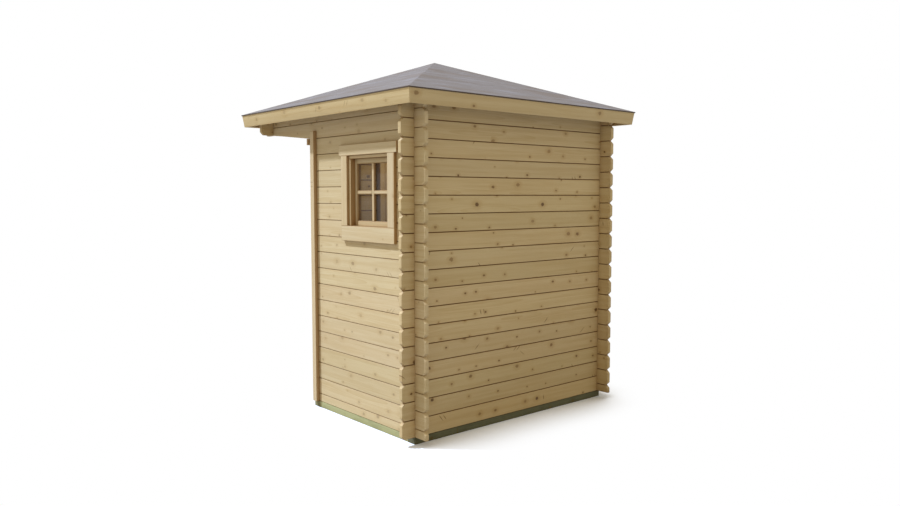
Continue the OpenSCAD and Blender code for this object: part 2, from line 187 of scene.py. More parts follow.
def inset(outline, amounts):
    """An outline with its edges moved inwards.

    Edge i moves in by amounts[i], and corner i goes to where its two moved edges meet: the step
    that has length -amounts along both edges' outward normals.
    """
    edge = np.roll(outline, -1, 0) - outline
    edge /= np.linalg.norm(edge, axis=1)[:, None]
    normal = np.stack([edge[:, 1], -edge[:, 0]], 1)
    before, back = np.roll(normal, 1, 0), np.roll(amounts, 1)
    cross = before[:, 0] * normal[:, 1] - before[:, 1] * normal[:, 0]
    straight = np.abs(cross) < 1e-6
    cross = np.where(straight, 1, cross)
    step = np.stack([amounts * before[:, 1] - back * normal[:, 1],
                     back * normal[:, 0] - amounts * before[:, 0]], 1) / cross[:, None]
    return outline + np.where(straight[:, None], -normal * amounts[:, None], step)


def slab(outline, face, w0, w1, seed, ease=0.0015, front=None, grain="u", rim=0.0015, rounded=True,
         deep=None):
    """A board or log: its face outline carried through its thickness.

    Point (j, i) is corner i of the outline, moved in by a share j of the edge's easing, at depth
    j. The easing is a quarter round, or one flat bevel where rounded is false. A rim just inside
    each face keeps the darkened edge, which carries dirt and painted shade, apart from the middle.
    grain says which way the fibres run.
    """
    outline = np.asarray(outline, float)
    x, y = outline.T
    if (x * np.roll(y, -1) - y * np.roll(x, -1)).sum() < 0:
        outline = outline[::-1]
        if not np.isscalar(ease):
            ease = np.roll(np.asarray(ease)[::-1], -1)
        if front is not None and not np.isscalar(front):
            front = np.roll(np.asarray(front)[::-1], -1)
    back = np.broadcast_to(np.asarray(ease, float), len(outline))
    front = back if front is None else np.broadcast_to(np.asarray(front, float), len(outline))
    steps = [(1, 0), (0.3, 0.3), (0, 1)] if rounded else [(1, 0), (0, 1)]
    rings, depths, edges = [inset(outline, back + rim)], [w0], [0]
    for share, part in steps:
        rings.append(inset(outline, back * share))
        depths.append(w0 + (deep or back.max()) * part)
        edges.append(1)
    for share, part in steps[::-1]:
        rings.append(inset(outline, front * share))
        depths.append(w1 - (deep or front.max()) * part)
        edges.append(1)
    rings.append(inset(outline, front + rim))
    depths.append(w1)
    edges.append(0)
    flat = np.array(rings)
    level = np.broadcast_to(np.array(depths)[:, None], flat.shape[:2])
    local = np.dstack([flat - outline.min(0), level - w0])
    if grain == "v":
        local = local[:, :, [1, 0, 2]]
    if grain == "w":
        local = local[:, :, [2, 1, 0]]
    # Where the easing differs from edge to edge, only its widest part gets the full edge darkening, which is
    # dirt and painted shade
    dirt_and_shade_weight = np.maximum(back, np.roll(back, 1)) / max(back.max(), 1e-6)
    return {"rings": np.dstack([flat, level]) @ FACES[face], "grain": local,
            "edge": np.outer(edges, np.where(dirt_and_shade_weight > 0.9, 1.0, 0.2)), "seed": seed}


def rect(u0, v0, u1, v1):
    return np.array([[u0, v0], [u1, v0], [u1, v1], [u0, v1]], float)


def fill(node, face, seed, ease, **more):
    """A board that fills a node's box and shows its face along the axis named face."""
    low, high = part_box(node)
    u, v = [axis for axis in "xyz" if axis != face]
    return slab(rect(getattr(low, u), getattr(low, v), getattr(high, u), getattr(high, v)), face,
                getattr(low, face), getattr(high, face), seed, ease, **more)


def pair(node, face, width, two, ease):
    """Two upright boards of one width, one at each end of a node's box."""
    low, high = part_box(node)
    axis = "x" if face == "y" else "y"
    starts = getattr(low, axis), getattr(high, axis) - width
    return [slab(rect(u, low.z, u + width, high.z), face, getattr(low, face), getattr(high, face),
                 seed, ease, grain="v") for u, seed in zip(starts, two)]


def lathe(profile, centre, axis, seed, steps=16):
    """A turned piece: radius and distance pairs carried round an axis through centre."""
    radius, along = np.asarray(profile, float).T
    a = np.arange(steps) * 2 * math.pi / steps
    u, v, w = FACES[axis]
    rings = (np.asarray(centre) + radius[:, None, None] * (np.cos(a)[:, None] * u + np.sin(a)[:, None] * v)
             + along[:, None, None] * w)
    return {"rings": rings, "grain": rings.copy(), "edge": np.zeros(len(rings)), "seed": seed}


def tube(path, radius, up, seed, steps=16):
    """A round bar: a circle of the local radius carried along a path, square to its direction."""
    path, radius = np.asarray(path, float), np.asarray(radius, float)
    along = np.gradient(path, axis=0)
    along /= np.linalg.norm(along, axis=1)[:, None]
    side = np.cross(along, up)
    side /= np.linalg.norm(side, axis=1)[:, None]
    top = np.cross(side, along)
    a = np.arange(steps) * 2 * math.pi / steps
    rings = path[:, None] + radius[:, None, None] * (
        np.cos(a)[None, :, None] * side[:, None] + np.sin(a)[None, :, None] * top[:, None])
    return {"rings": rings, "grain": rings.copy(), "edge": np.zeros(len(rings)), "seed": seed}


def hip_run(profile, seed, stations=2):
    """One side of a square ring round the roof, mitred at both hips, on the side that faces -Y.

    The profile gives plan distances d from the middle and heights z. Point (j, i) lies at
    x = u_j d_i, y = -d_i, with u_j running from -1 to 1.
    """
    d, z = np.asarray(profile, float).T
    u = np.linspace(-1, 1, stations)[:, None]
    shape = (stations, len(d))
    rings = np.dstack([u * d, np.broadcast_to(-d, shape), np.broadcast_to(z, shape)])
    run = np.concatenate([[0], np.cumsum(np.hypot(np.diff(d), np.diff(z)))])
    local = np.dstack([rings[:, :, 0], np.broadcast_to(run, shape), rings[:, :, 2] * 0])
    return {"rings": rings, "grain": local, "edge": np.zeros(stations), "seed": seed}


def turned(part, degrees):
    """The same part, turned about the roof's upright middle line."""
    a = math.radians(degrees)
    turn = np.array([[math.cos(a), math.sin(a), 0], [-math.sin(a), math.cos(a), 0], [0, 0, 1]])
    return {**part, "rings": part["rings"] @ turn}


def seeds(name, count):
    """Three numbers from 0 to 1 for each board of a piece, the same at every run."""
    return np.random.default_rng(zlib.crc32(name.encode())).random((count, 3))


def make(name, node, slot, parts, bleach=0.0):
    """One object from its parts, each a grid of rings closed by a face at both ends.

    The last argument is how much painted sunlight the piece gets: a paler colour, weaker knots and
    less edge darkening, as on a sunlit side.
    """
    verts, faces, grain, edge, seed = [], [], [], [], []
    start = 0
    for part in parts:
        m, n = part["rings"].shape[:2]
        ids = start + np.arange(m * n).reshape(m, n)
        nxt = np.roll(ids, -1, 1)
        quads = np.stack([ids[:-1], nxt[:-1], nxt[1:], ids[1:]], -1).reshape(-1, 4)
        faces += quads.tolist() + [ids[0][::-1].tolist(), ids[-1].tolist()]
        verts.append(part["rings"].reshape(-1, 3))
        grain.append(part["grain"].reshape(-1, 3))
        edge.append(np.repeat(part["edge"], n) if part["edge"].ndim == 1 else part["edge"].ravel())
        seed.append(np.broadcast_to(part["seed"], (m * n, 3)))
        start += m * n
    mesh = bpy.data.meshes.new(name)
    mesh.from_pydata(np.concatenate(verts).tolist(), [], faces)
    for label, kind, values in (("grain", "FLOAT_VECTOR", grain), ("seed", "FLOAT_VECTOR", seed),
                                ("edge", "FLOAT", edge), ("bleach", "FLOAT", [np.full(start, bleach)])):
        data = mesh.attributes.new(label, kind, "POINT").data
        field = "value" if kind == "FLOAT" else "vector"
        data.foreach_set(field, np.concatenate(values).astype(np.float32).ravel())
    bm = bmesh.new()
    bm.from_mesh(mesh)
    bmesh.ops.dissolve_degenerate(bm, dist=1e-6, edges=bm.edges)
    bmesh.ops.recalc_face_normals(bm, faces=bm.faces)
    bm.to_mesh(mesh)
    bm.free()
    mesh.polygons.foreach_set("use_smooth", np.ones(len(mesh.polygons), bool))
    mesh.set_sharp_from_angle(angle=SHARP)
    mesh.materials.append(material(slot))
    obj = bpy.data.objects.new(name, mesh)
    bpy.context.scene.collection.objects.link(obj)
    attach(obj, "root")
    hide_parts(node)
    return obj


# ---- Materials ----


class Value:
    """A value in a shader. An expression on values adds its Math nodes."""

    def __init__(self, shader, socket):
        self.shader, self.socket = shader, socket

    def math(self, operation, *values):
        return self.shader.node("ShaderNodeMath", {"operation": operation}, dict(enumerate(values)))

    def __add__(self, other):
        return self.math("ADD", self, other)

    def __sub__(self, other):
        return self.math("SUBTRACT", self, other)

    def __rsub__(self, other):
        return self.math("SUBTRACT", other, self)

    def __mul__(self, other):
        return self.math("MULTIPLY", self, other)

    def __truediv__(self, other):
        return self.math("DIVIDE", self, other)

    def __rtruediv__(self, other):
        return self.math("DIVIDE", other, self)

    def __pow__(self, other):
        return self.math("POWER", self, other)

    __radd__ = __add__
    __rmul__ = __mul__

    def ramp(self, low, high):
        """0 below low, 1 above high and a smooth step between, or the reverse where low > high."""
        flip = low > high
        return self.shader.node("ShaderNodeMapRange", {"interpolation_type": "SMOOTHSTEP"},
                                {"Value": self, "From Min": min(low, high), "From Max": max(low, high),
                                 "To Min": 1.0 if flip else 0.0, "To Max": 0.0 if flip else 1.0})


class Shader:
    """The node tree of a material or a world, with one method that adds any node."""

    def __init__(self, owner):
        self.owner = owner
        owner.use_nodes = True
        self.tree = owner.node_tree
        self.tree.nodes.clear()

    def node(self, kind, settings=None, inputs=None, out=0):
        made = self.tree.nodes.new(kind)
        for key, value in (settings or {}).items():
            setattr(made, key, value)
        for key, value in (inputs or {}).items():
            socket = made.inputs[key]
            if isinstance(value, Value):
                self.tree.links.new(value.socket, socket)
            else:
                socket.default_value = value
        return Value(self, made.outputs[out])

    def outputs(self, value, *names):
        """Other outputs of the node that made a value."""
        return [Value(self, value.socket.node.outputs[n]) for n in names]

    def split(self, vector):
        first = self.node("ShaderNodeSeparateXYZ", inputs={0: vector})
        return self.outputs(first, "X", "Y", "Z")

    def join(self, x, y, z):
        return self.node("ShaderNodeCombineXYZ", inputs={0: x, 1: y, 2: z})

    def attribute(self, name, out="Vector"):
        return self.node("ShaderNodeAttribute", {"attribute_name": name}, out=out)

    def noise(self, vector, scale=1.0, detail=2.0, roughness=0.5):
        return self.node("ShaderNodeTexNoise", {"noise_dimensions": "3D"},
                         {"Vector": vector, "Scale": scale, "Detail": detail, "Roughness": roughness})

    def mix(self, fac, a, b, blend="MIX"):
        """Colour a towards colour b."""
        made = self.node("ShaderNodeMix", {"data_type": "RGBA", "blend_type": blend},
                         {"Factor": fac}, out=2)
        for index, value in ((6, a), (7, b)):
            socket = made.socket.node.inputs[index]
            if isinstance(value, Value):
                self.tree.links.new(value.socket, socket)
            else:
                socket.default_value = (*value[:3], 1.0)
        return made

    def seen(self):
        """1 for the camera and for what it sees in glass or metal, 0 for light on its way."""
        path = self.node("ShaderNodeLightPath", out="Is Camera Ray")
        glossy, through = self.outputs(path, "Is Glossy Ray", "Is Transmission Ray")
        total = path + glossy + through
        return total.math("MINIMUM", total, 1.0)

    def finish(self, shader, kind="ShaderNodeOutputMaterial"):
        output = self.tree.nodes.new(kind)
        self.tree.links.new(shader.socket, output.inputs["Surface"])
        return self.owner


def scaled(colour, by):
    """A colour with each of its channels multiplied."""
    return tuple(np.array(colour) * by)


def wood(name, light, dark, knot, knots=0.66, size=1.0, rough=0.62, stain=0.0, tone=0.10, edge_dirt_and_shade=0.7,
         edge_dirt_and_shade_colour=(0.60, 0.42, 0.23), pale=(1.02, 1.05, 1.13), sunlit_edge_lift=0.15):
    """Softwood: rings about a pith line, fibres, long streaks, round knots and slanting ones.

    Everything is laid out along each board's own grain, from the numbers kept with the board.
    knots is the share of places that hold one, and stain adds blotches. Two arguments darken each
    board's sides and joints, by a weight and towards a colour: dirt and painted shade in the joints,
    painted shade on the sides. Corners that an occlusion test finds get painted shade as well. pale
    is the tint of painted sunlight on the pieces marked as sunlit, and the last argument is the share
    of the edge darkening that this painted sunlight takes away.
    """
    s = Shader(bpy.data.materials.new(name))
    along, across, deep = s.split(s.attribute("grain"))
    a, b, c = s.split(s.attribute("seed"))

    # One place for a knot in each cell of a loose grid
    cu, cv = 0.215 * size, 0.105 * size
    ku, kv = along / cu + a * 37, across / cv + b * 41
    cell = s.node("ShaderNodeTexVoronoi", {"voronoi_dimensions": "2D"},
                  {"Vector": s.join(ku, kv, 0.0), "Scale": 1.0, "Randomness": 0.9}, out="Position")
    pu, pv, _ = s.split(cell)
    r1, r2, r3 = s.split(s.outputs(cell, "Color")[0])
    du, dv = (ku - pu) * cu, (kv - pv) * cv
    wobble = s.noise(s.join(along, across, deep), 90, 2) - 0.5
    radius = 0.0042 + (r2 ** 1.6) * 0.0108
    away = ((du / 1.35) ** 2 + dv ** 2) ** 0.5 / radius + wobble * 0.9
    there = r1.ramp(1 - knots, 1 - knots + 0.02)
    core = away.ramp(1.15, 0.55) * there
    halo = away.ramp(3.4, 0.9) * there

    # Slanting knots, cut along their length
    lu, lv = 0.47, 0.16
    su, sv = along / lu + b * 53, across / lv + c * 47
    spike = s.node("ShaderNodeTexVoronoi", {"voronoi_dimensions": "2D"},
                   {"Vector": s.join(su, sv, 0.0), "Scale": 1.0, "Randomness": 0.8}, out="Position")
    qu, qv, _ = s.split(spike)
    t1, t2, t3 = s.split(s.outputs(spike, "Color")[0])
    eu, ev = (su - qu) * lu, (sv - qv) * lv
    lean = (t2 - 0.5) * 2.6
    eu = eu - ev * lean
    twin = eu.math("ABSOLUTE", eu) - 0.015 * (t3.ramp(0.5, 0.7))
    slit = ((twin / 0.0046) ** 2 + (ev / 0.019) ** 2) ** 0.5 + wobble * 0.9
    slanting = slit.ramp(1.25, 0.45) * t1.ramp(0.64, 0.66)

    # Rings round the pith, bent aside by the knots
    bent = across - dv * halo * 0.45
    drift = s.noise(s.join(along * 0.9 + a * 60, across * 3 + b * 30, c * 40), 1.0, 2)
    pith_v = bent - 0.057 - (b - 0.5) * 0.22
    pith_w = deep + 0.012 + c * 0.05
    ring = (pith_v ** 2 + pith_w ** 2) ** 0.5 / 0.0042 + drift * 7
    late = (ring.math("FRACT", ring)) ** 2.4
    fibre = s.noise(s.join(along * 7 + a * 80, bent * 420, deep * 420 + c * 50), 1.0, 3, 0.6)
    streak = s.noise(s.join(along * 1.3 + a * 90, bent * 34 + b * 70, deep * 30), 1.0, 3, 0.55)
    patch = s.noise(s.join(along * 2.4 + c * 90, across * 7 + a * 50, deep * 7), 1.0, 2)

    grain = late * 0.34 + fibre.ramp(0.35, 0.75) * 0.26 + streak.ramp(0.36, 0.68) * 0.36
    colour = s.mix(grain * 0.95, light, dark)
    colour = s.mix(patch.ramp(0.5, 0.75) * 0.16, colour, scaled(light, (1.02, 0.93, 0.80)))
    if stain:
        blot = s.noise(s.join(along * 9 + a * 20, across * 16, deep * 9), 1.0, 4, 0.6)
        colour = s.mix(blot.ramp(0.48, 0.66) * stain, colour, scaled(dark, 0.72))
    # Painted sunlight: on the pieces marked as sunlit, knots show less, and below the colour is tinted paler
    bleach = s.attribute("bleach", "Fac")
    knots_out_of_sun = 1 - bleach * 0.5
    colour = s.mix(halo * 0.36 * knots_out_of_sun, colour, scaled(dark, (0.88, 0.78, 0.62)))
    brown = s.mix(r3, scaled(knot, 1.9), knot)
    colour = s.mix(core * (0.55 + r3 * 0.45) * knots_out_of_sun, colour, brown)
    colour = s.mix(slanting * 0.75 * knots_out_of_sun, colour, scaled(knot, 1.5))
    # Painted shade on the boards' sides, with dirt and painted shade in the joints; less where painted
    # sunlight falls
    edge = s.attribute("edge", "Fac")
    colour = s.mix(edge * edge * edge_dirt_and_shade * (1 - bleach * sunlit_edge_lift), colour, scaled(dark, edge_dirt_and_shade_colour))
    # Painted shade: browner and darker in corners and crevices, where an occlusion test finds other surfaces
    # near
    corner = s.node("ShaderNodeAmbientOcclusion", {"samples": 8}, {"Distance": 0.09}, out="AO")
    corner_shade_colour = s.mix(1.0, colour, (0.66, 0.50, 0.32), "MULTIPLY")
    colour = s.mix(corner.ramp(0.78, 0.14) * 0.85, colour, corner_shade_colour)
    # Painted sunlight: the pieces marked as sunlit are tinted by pale
    colour = s.mix(bleach, colour, s.mix(1.0, colour, pale, "MULTIPLY"))
    shade = 1 - tone / 2 + c * tone
    cast = s.join(shade, shade * (0.99 + a * 0.02), shade * (0.975 + b * 0.05))
    colour = s.mix(1.0, colour, cast, "MULTIPLY")

    relief = fibre * 0.5 + late * 0.6 + core * 0.8 - slanting * 0.4
    bump = s.node("ShaderNodeBump", inputs={"Strength": 0.45, "Distance": 0.00045, "Height": relief})
    surface = s.node("ShaderNodeBsdfPrincipled", inputs={
        "Base Color": colour, "Roughness": rough + late * 0.08 - core * 0.14 + patch * 0.06, "Normal": bump,
        "IOR": 1.5, "Specular IOR Level": 0.35})
    return s.finish(surface)


def felt(name, main, brown, pale):
    """Mineral felt: fine streaks and clouds drawn out along the eaves, over a pattern of granules."""
    s = Shader(bpy.data.materials.new(name))
    along, across, deep = s.split(s.attribute("grain"))
    a, b, c = s.split(s.attribute("seed"))
    long = s.noise(s.join(along * 2.6 + a * 30, across * 34 + b * 9, 0.0), 1.0, 5, 0.6)
    wide = s.noise(s.join(along * 1.7 + b * 40, across * 9 + a * 9, 3.0), 1.0, 3, 0.5)
    thin = s.noise(s.join(along * 9 + c * 40, across * 150, 6.0), 1.0, 3, 0.6)
    grit = s.noise(s.join(along, across, deep), 950, 2, 0.7)
    colour = s.mix(long.ramp(0.50, 0.64) * 0.75, main, pale)
    colour = s.mix(wide.ramp(0.47, 0.63) * 0.75, colour, brown)
    colour = s.mix(thin.ramp(0.52, 0.70) * 0.40, colour, scaled(pale, 1.08))
    colour = s.mix(thin.ramp(0.47, 0.34) * 0.35, colour, scaled(main, 0.72))
    colour = s.mix(grit.ramp(0.56, 0.70) * 0.35, colour, scaled(main, 0.62))
    colour = s.mix(grit.ramp(0.42, 0.30) * 0.30, colour, scaled(pale, 1.2))
    # Painted shade under the lip, together with the turned-down edge's own darker colour
    edge = s.attribute("edge", "Fac")
    colour = s.mix(edge * 0.85, colour, scaled(brown, (0.42, 0.36, 0.30)))
    bump = s.node("ShaderNodeBump", inputs={"Strength": 0.5, "Distance": 0.0006, "Height": grit + thin * 0.5})
    surface = s.node("ShaderNodeBsdfPrincipled", inputs={
        "Base Color": colour, "Roughness": 0.86 + grit * 0.1, "Normal": bump, "Specular IOR Level": 0.25})
    return s.finish(surface)


def pane(name):
    """Clear glass, barely green, that reflects more at a slant and carries a little dust."""
    s = Shader(bpy.data.materials.new(name))
    place = s.node("ShaderNodeTexCoord", out="Object")
    dust = s.noise(place, 26, 4, 0.6)
    facing = s.node("ShaderNodeLayerWeight", inputs={"Blend": 0.5}, out="Facing")
    surface = s.node("ShaderNodeBsdfPrincipled", inputs={
        "Base Color": (0.25, 0.27, 0.24, 1), "Roughness": 0.03 + dust * 0.08,
        "Alpha": 0.07 + facing ** 4.0 * 0.55 + dust.ramp(0.55, 0.8) * 0.03, "IOR": 1.5})
    return s.finish(surface)


def zinc(name, colour):
    """Zinc-coated steel: a faint spangle, fine scratches and a duller film in patches."""
    s = Shader(bpy.data.materials.new(name))
    place = s.node("ShaderNodeTexCoord", out="Object")
    flake = s.node("ShaderNodeTexVoronoi", inputs={"Vector": place, "Scale": 160.0}, out="Color")
    f, _, _ = s.split(flake)
    film = s.noise(place, 30, 4, 0.6)
    scratch = s.noise(s.node("ShaderNodeMapping", inputs={"Vector": place, "Scale": (40, 40, 900)}), 1.0, 2)
    tint = s.mix(f * 0.35 + film * 0.3, colour, scaled(colour, 0.72))
    bump = s.node("ShaderNodeBump",
                  inputs={"Strength": 0.25, "Distance": 0.0002, "Height": scratch + f * 0.3})
    surface = s.node("ShaderNodeBsdfPrincipled", inputs={
        "Base Color": tint, "Metallic": 1.0, "Roughness": 0.30 + film * 0.22 + f * 0.06, "Normal": bump})
    return s.finish(surface)


def material(slot):
    """The finish that a slot stands for, made once."""
    c = bpy.context.scene.shed_colours
    shades = lambda *names: [tuple(getattr(c, n)) for n in names]
    knot = tuple(c.knot)
    # In these finishes the edge darkening is painted shade on the boards' sides, with dirt and painted shade
    # in the log joints
    makers = {
        "log_spruce": lambda n: wood(n, *shades("log", "log_dark"), knot, knots=0.78, edge_dirt_and_shade=0.66,
                                     edge_dirt_and_shade_colour=(0.40, 0.26, 0.13), sunlit_edge_lift=0.62),
        "planed_spruce": lambda n: wood(n, *shades("planed", "planed_dark"), knot, knots=0.22, rough=0.55),
        # pale here is painted sunlight, lifting the fascia that faces the sun
        "fascia_spruce": lambda n: wood(n, *shades("fascia", "fascia_dark"), knot, knots=0.42, size=1.1,
                                        rough=0.6, pale=(1.12, 1.12, 1.12)),
        "roof_timber": lambda n: wood(n, *shades("timber", "timber_dark"), knot, knots=0.55, rough=0.68),
        # pale here is strong painted sunlight that lifts the sunlit beams far above the shaded rear one
        "treated_spruce": lambda n: wood(n, *shades("treated", "treated_dark"), scaled(knot, (0.8, 1.1, 0.8)),
                                         knots=0.35, rough=0.75, stain=0.35, tone=0.16, edge_dirt_and_shade=0.2,
                                         pale=(3.0, 2.9, 2.6)),
        "roofing_felt": lambda n: felt(n, *shades("felt", "felt_brown", "felt_blue")),
        "window_glass": pane,
        "zinc_steel": lambda n: zinc(n, tuple(c.steel)),
    }
    name = slot + "_finish"
    return bpy.data.materials.get(name) or makers[slot](name)


def screws(centres, axis, out, seed, radius=0.0042):
    """Countersunk heads with a ring groove, each a turned disc that stands out by out."""
    profile = np.array([[0.05, -1.2], [1.0, -1.2], [1.0, 0.35], [0.72, 0.9],
                        [0.45, 1.0], [0.4, 0.55], [0.05, 0.5]])
    sign = 1 if out > 0 else -1
    return [lathe(profile * (radius, abs(out)) * (1, sign), c, axis, seed, 12) for c in centres]


# ---- Logs ----


def log_outline(a, b, lo, hi, low=(), high=(), cuts=(0, 0, 0, 0)):
    """A log's face: a bar from a to b and lo to hi with corners cut at 45 degrees and notches.

    low and high hold a middle, a width and a depth for each notch, from left to right. cuts
    holds the cut at a's foot, a's head, b's foot and b's head.
    """
    p = [(a, lo + cuts[0]), (a + cuts[0], lo)] if cuts[0] else [(a, lo)]
    for s, w, d in low:
        p += [(s - w / 2, lo), (s - w / 2, lo + d), (s + w / 2, lo + d), (s + w / 2, lo)]
    p += [(b - cuts[2], lo), (b, lo + cuts[2])] if cuts[2] else [(b, lo)]
    p += [(b, hi - cuts[3]), (b - cuts[3], hi)] if cuts[3] else [(b, hi)]
    for s, w, d in reversed(high):
        p += [(s + w / 2, hi), (s + w / 2, hi - d), (s - w / 2, hi - d), (s - w / 2, hi)]
    p += [(a + cuts[1], hi), (a, hi - cuts[1])] if cuts[1] else [(a, hi)]
    return np.array(p)


def log(outline, face, w0, seed):
    """A log from its outline: a full bevel along its top and foot, softened edges elsewhere."""
    w = bpy.context.scene.shed_walls
    following = np.roll(outline, -1, 0)
    lo, hi = outline[:, 1].min(), outline[:, 1].max()
    level = np.isclose(outline[:, 1], following[:, 1])
    joint = level & (np.isclose(outline[:, 1], lo) | np.isclose(outline[:, 1], hi))
    ease = np.where(joint, w.bevel, w.ease)
    return slab(outline, face, w0, w0 + w.thick, seed, ease, rim=0.0012, rounded=False, deep=w.bevel_deep)


class Plan:
    """Places that several pieces share, from the frame's own boxes."""

    def __init__(self):
        w = bpy.context.scene.shed_walls
        self.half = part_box("foundation_front")[1].x
        self.base = height("foundation_front")
        self.course = w.course
        self.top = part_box("window_wall_even_logs")[1].z
        self.courses = round((self.top - self.base) / self.course)
        self.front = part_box("foundation_front")[0].y
        self.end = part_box("rear_wall_even_logs")[1].x
        self.inner = self.half - w.thick
        self.mid = self.half - w.thick / 2
        self.eave = CAD_BOUNDS[1][0]
        self.eave_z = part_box("fascia_front")[1].z + EAVE_OVER_FASCIA
        self.peak_z = CAD_BOUNDS[1][2]

    def slope(self):
        return (self.peak_z - self.eave_z) / self.eave


class SHED_OT_foundation(bpy.types.Operator):
    """Build the pressure-treated beams that the walls stand on"""

    bl_idname = "shed.build_foundation"
    bl_label = "Foundation"

    def execute(self, context):
        for side, face in (("front", "y"), ("rear", "y"), ("left", "x"), ("right", "x")):
            node = "foundation_" + side
            part = fill(node, face, seeds(node, 1)[0], BEAM_EASE)
            # Painted light and shade: the right beam in the sun gets full painted sunlight, the rear beam in
            # shade none, the others half
            make("beam_" + side, node, "treated_spruce", [part], {"right": 1.0, "rear": 0.0}.get(side, 0.5))
        return {"FINISHED"}


class SHED_OT_rear_wall(bpy.types.Operator):
    """Build the rear wall's logs and the porch's cross log"""

    bl_idname = "shed.build_rear_wall"
    bl_label = "Rear wall and cross log"

    def execute(self, context):
        w, p = context.scene.shed_walls, Plan()
        width, depth = w.thick + 2 * w.gap, w.course / 4
        notches = [(-p.mid, width, depth), (p.mid, width, depth)]
        for first, word in ((0, "even"), (1, "odd")):
            node = f"rear_wall_{word}_logs"
            rows = range(first, p.courses, 2)
            parts = []
            for i, seed in zip(rows, seeds(node, len(rows))):
                z = p.base + i * w.course
                outline = log_outline(-p.end, p.end, z, z + w.course, notches, notches, [w.end_cut] * 4)
                parts.append(log(outline, "y", p.inner, seed))
            make("rear_logs_" + word, node, "log_spruce", parts)
        low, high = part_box("porch_cross_log")
        outline = log_outline(-p.end, p.end, low.z, high.z, notches, notches, [w.end_cut] * 4)
        make("porch_log", "porch_cross_log", "log_spruce", [log(outline, "y", low.y, seeds("porch", 1)[0])])
        return {"FINISHED"}


class SHED_OT_side_walls(bpy.types.Operator):
    """Build the side walls' logs, the last two of which run on over the porch"""

    bl_idname = "shed.build_side_walls"
    bl_label = "Side walls"

    def outlines(self, k, windowed):
        """The faces of course k, along Y: one, or two where the window parts it."""
        w, p = bpy.context.scene.shed_walls, Plan()
        width, depth = w.thick + 2 * w.gap, w.course / 4
        lo = p.base + max(0, k - 0.5) * w.course
        hi = min(lo + w.course * (0.5 if k == 0 else 1), p.top)
        last = p.courses
        over = k >= last - 1
        a, b = (-p.end if over else p.front), p.end
        low = [(p.mid, width, depth)] if k > 0 else []
        high = [(p.mid, width, depth)] if k < last else []
        cut = w.end_cut
        cuts = [0, 0, cut if k > 0 else 0, cut if k < last else 0]
        if k == last:
            low = [(-p.mid, width, depth)] + low
            cuts[0] = cut
        if k == last - 1:
            rise = w.course / 2
            base = log_outline(a, b, lo, hi, low, [(-p.mid, width, depth)] + high, [0, cut] + cuts[2:])
            under = np.array([(a, lo + rise + cut), (a + cut, lo + rise), (-p.inner, lo + rise),
                              (p.front, lo)])
            return [np.concatenate([under, base[1:]])]
        if windowed:
            wlo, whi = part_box("window_frame")
            y0, y1 = wlo.y - WINDOW_GAP, whi.y + WINDOW_GAP
            z0, z1 = wlo.z - WINDOW_GAP, whi.z + WINDOW_GAP
            mid, wide = (y0 + y1) / 2, y1 - y0
            if lo < z0 < hi:
                high = [(mid, wide, hi - z0)] + high
            elif lo < z1 < hi:
                low = [(mid, wide, z1 - lo)] + low
            elif z0 <= lo and hi <= z1:
                return [log_outline(a, y0, lo, hi, (), (), (0, 0, 0, 0)),
                        log_outline(y1, b, lo, hi, low, high, cuts)]
        return [log_outline(a, b, lo, hi, low, high, cuts)]

    def execute(self, context):
        p = Plan()
        for wall, x, windowed in (("window", p.inner, True), ("left", -p.half, False)):
            for first, word in ((0, "even"), (1, "odd")):
                node = f"{wall}_wall_{word}_logs"
                rows = range(first, p.courses + 1, 2)
                parts = []
                for k, seed in zip(rows, seeds(node, len(rows))):
                    # The grain is turned round past the window, so that it does not repeat
                    outlines = self.outlines(k, windowed)
                    parts += [log(o, "x", x, s) for o, s in zip(outlines, (seed, seed[::-1]))]
                # The window wall's logs get painted sunlight, the left wall's logs none
                make(f"{wall}_logs_{word}", node, "log_spruce", parts, float(windowed))
        return {"FINISHED"}


class SHED_OT_front_wall(bpy.types.Operator):
    """Build the front wall's logs, its corner posts, the battens and the head board"""

    bl_idname = "shed.build_front_wall"
    bl_label = "Front wall"

    def execute(self, context):
        w, p = context.scene.shed_walls, Plan()
        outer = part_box("front_wall_even_logs")[1].x
        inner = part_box("door_frame")[1].x
        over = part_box("door_frame")[1].z
        top = max(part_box("front_wall_even_logs")[1].z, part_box("front_wall_odd_logs")[1].z)
        edge = abs(p.front)
        slope = p.slope()
        for first, word in ((0, "even"), (1, "odd")):
            node = f"front_wall_{word}_logs"
            rows = range(first, p.courses + 2, 2)
            parts = []
            for i, seed in zip(rows, seeds(node, len(rows))):
                z0, z1 = p.base + i * w.course, p.base + (i + 1) * w.course
                if z1 < over + 0.001:
                    parts += [log(rect(x0, z0, x1, z1), "y", p.front, s)
                              for x0, x1, s in ((-outer, -inner, seed), (inner, outer, seed[::-1]))]
                    continue
                z1 = min(z1, top)
                x1 = min(outer, edge + (top - z1) / slope)
                turn = top - (outer - edge) * slope
                shape = [(-outer, z0), (outer, z0)] if z0 < turn else [
                    (-edge - (top - z0) / slope, z0), (edge + (top - z0) / slope, z0)]
                if z0 < turn < z1:
                    shape += [(outer, turn), (x1, z1), (-x1, z1), (-outer, turn)]
                else:
                    shape += [(x1, z1), (-x1, z1)]
                parts.append(log(np.array(shape), "y", p.front, seed))
            make("front_logs_" + word, node, "log_spruce", parts)

        s = seeds("uprights", 8)
        make("corner_posts", "front_corner_posts", "planed_spruce",
             pair("front_corner_posts", "y", w.post, s[:2], BOARD_EASE))
        low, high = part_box("side_battens")
        # Both battens get painted sunlight
        make("battens", "side_battens", "planed_spruce", [
            slab(rect(low.y, low.z, high.y, high.z), "x", x, x + w.batten, s[2 + i], BOARD_EASE, grain="v")
            for i, x in enumerate((low.x, high.x - w.batten))], 1.0)
        make("head_board", "front_head_board", "planed_spruce",
             [fill("front_head_board", "y", s[4], BOARD_EASE)])
        return {"FINISHED"}


